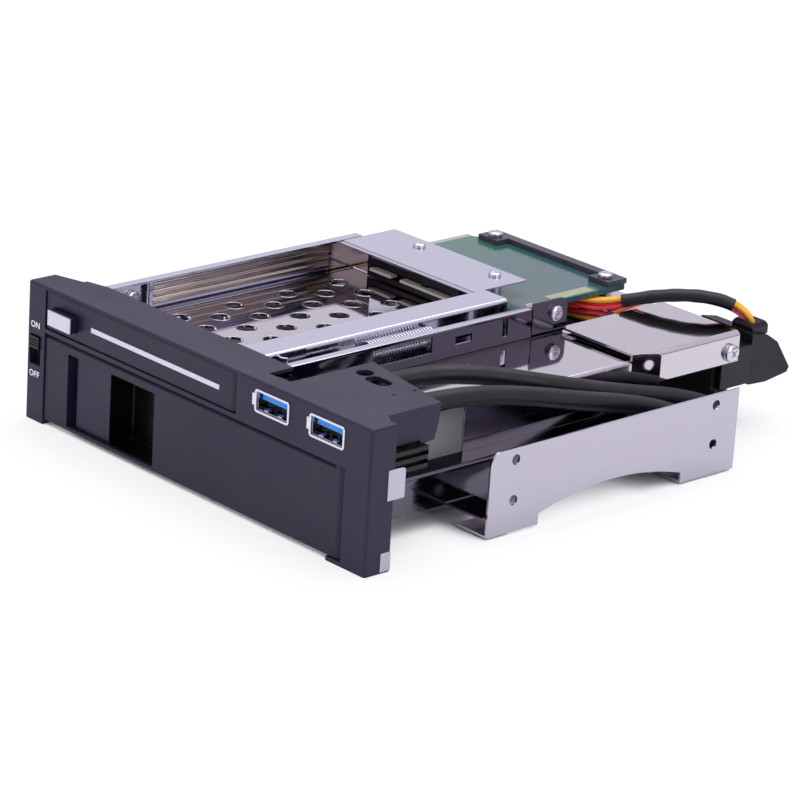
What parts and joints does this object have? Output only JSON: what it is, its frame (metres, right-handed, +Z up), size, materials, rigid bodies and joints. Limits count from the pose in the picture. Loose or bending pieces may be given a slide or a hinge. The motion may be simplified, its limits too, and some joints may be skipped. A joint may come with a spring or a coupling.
{
  "type": "hot swap drive cage",
  "caption": "Hot swap drive cage for a wide PC bay: latched door over a 3.5-inch bay, smaller door over a 2.5-inch bay with its ejector, USB ports, power switch and rear boards.",
  "frame": {"origin": "bottom middle of the box around the cage without its leads", "axes": "+X to the right of the bezel, +Y towards the rear, +Z up; the bezel faces -Y"},
  "size_m": [0.165, 0.2003, 0.0423],
  "materials": {
    "bezel_plastic": "fine-grained black moulded plastic",
    "door_plastic": "fine-grained black moulded plastic",
    "latch_plastic": "smooth black moulded plastic",
    "button_metal": "satin silver face plate",
    "trim_plastic": "pearl white strip",
    "knob_plastic": "black switch",
    "light_pipe": "smoked light pipe, dark when unlit",
    "polished_sheet": "mirror-bright stainless sheet",
    "zinc_sheet": "zinc-plated steel sheet",
    "steel_parts": "bright steel",
    "cover_sheet": "satin steel sheet",
    "board_green": "green circuit board",
    "black_plastic": "black connector plastic",
    "port_shell": "plated steel shell",
    "port_blue": "blue moulded tongue",
    "cable_jacket": "black cable jacket"
  },
  "bodies": {
    "cage": {"backplane_25": "board_green", "backplane_35": "board_green", "bay_25_cover": "cover_sheet", "bay_25_left_wall": "zinc_sheet", "bay_25_right_wall": "zinc_sheet", "bay_liner": "zinc_sheet", "bezel_frame": "bezel_plastic", "board_clamp_strip": "black_plastic", "board_spacer_left": "steel_parts", "board_spacer_right": "steel_parts", "cable_gland_left": "black_plastic", "cable_gland_right": "black_plastic", "cage_35": "polished_sheet", "cage_side_left": "polished_sheet", "channel_wall": "zinc_sheet", "cover_screw_left": "steel_parts", "cover_screw_right": "steel_parts", "door_25_pin": "steel_parts", "door_35_pin": "steel_parts", "drive_guide_left": "polished_sheet", "drive_guide_right": "polished_sheet", "ejector_spring": "steel_parts", "guide_rail_left": "polished_sheet", "guide_rail_right": "polished_sheet", "lever_bolt": "steel_parts", "lever_bracket": "zinc_sheet", "lever_pin": "steel_parts", "light_pipe_high": "light_pipe", "light_pipe_low": "light_pipe", "power_header": "black_plastic", "power_inlet": "black_plastic", "power_lead": "cable_jacket", "power_plug": "black_plastic", "power_switch": "knob_plastic", "sata_receptacle_25": "black_plastic", "sata_receptacle_35": "black_plastic", "side_bracket_left": "zinc_sheet", "side_bracket_right": "zinc_sheet", "strip_screw_left": "steel_parts", "strip_screw_right": "steel_parts", "usb_board": "board_green", "usb_cable_left": "cable_jacket", "usb_cable_right": "cable_jacket", "usb_hank": "cable_jacket", "usb_housing": "bezel_plastic", "usb_plug": "black_plastic", "usb_shell_left": "port_shell", "usb_shell_right": "port_shell", "usb_tongue_left": "port_blue", "usb_tongue_right": "port_blue"},
    "door_35": {"door_35": "door_plastic", "latch_35_pin": "steel_parts"},
    "latch_35": {"latch_35": "latch_plastic"},
    "door_25": {"door_25": "door_plastic", "door_25_trim": "trim_plastic"},
    "eject_button": {"eject_button": "latch_plastic", "eject_button_face": "button_metal"},
    "ejector_slider": {"ejector_slider": "steel_parts"},
    "ejector_lever": {"ejector_lever": "steel_parts"},
    "power_switch_knob": {"power_switch_knob": "knob_plastic"}
  },
  "joints": [
    {"name": "door_35_hinge", "type": "hinge", "parent": "cage", "child": "door_35", "pos_m": [0.0613, -0.0813, 0.0145], "axis": [0, 0, 1], "range_deg": [0, 90]},
    {"name": "latch_35_pivot", "type": "hinge", "parent": "door_35", "child": "latch_35", "pos_m": [-0.0522, -0.0809, 0.0135], "axis": [0, 0, -1], "range_deg": [0, 26], "stiffness_Nm_per_rad": 0.02, "springref_deg": -17.19},
    {"name": "door_25_hinge", "type": "hinge", "parent": "cage", "child": "door_25", "pos_m": [0.0165, -0.0815, 0.035], "axis": [0, 0, 1], "range_deg": [0, 90]},
    {"name": "eject_button_press", "type": "slide", "parent": "door_25", "child": "eject_button", "axis": [0, 1, 0], "range_m": [0, 0.0018], "stiffness_N_per_m": 300, "springref_m": -0.002},
    {"name": "ejector_slide", "type": "slide", "parent": "cage", "child": "ejector_slider", "axis": [0, -1, 0], "range_m": [0, 0.00245], "deforming": ["ejector_spring"]},
    {"name": "ejector_lever_pivot", "type": "hinge", "parent": "cage", "child": "ejector_lever", "pos_m": [0.017, 0.0293, 0.034], "axis": [0, 0, 1], "range_deg": [0, 30]},
    {"name": "power_switch_slide", "type": "slide", "parent": "cage", "child": "power_switch_knob", "axis": [0, 0, 1], "range_m": [-0.0048, 0]}
  ],
  "couplings": [
    {"joint": "ejector_slide", "follows": "door_25_hinge", "m_per_rad": 0.0015279},
    {"joint": "ejector_lever_pivot", "follows": "door_25_hinge", "ratio": 0.3333}
  ]
}
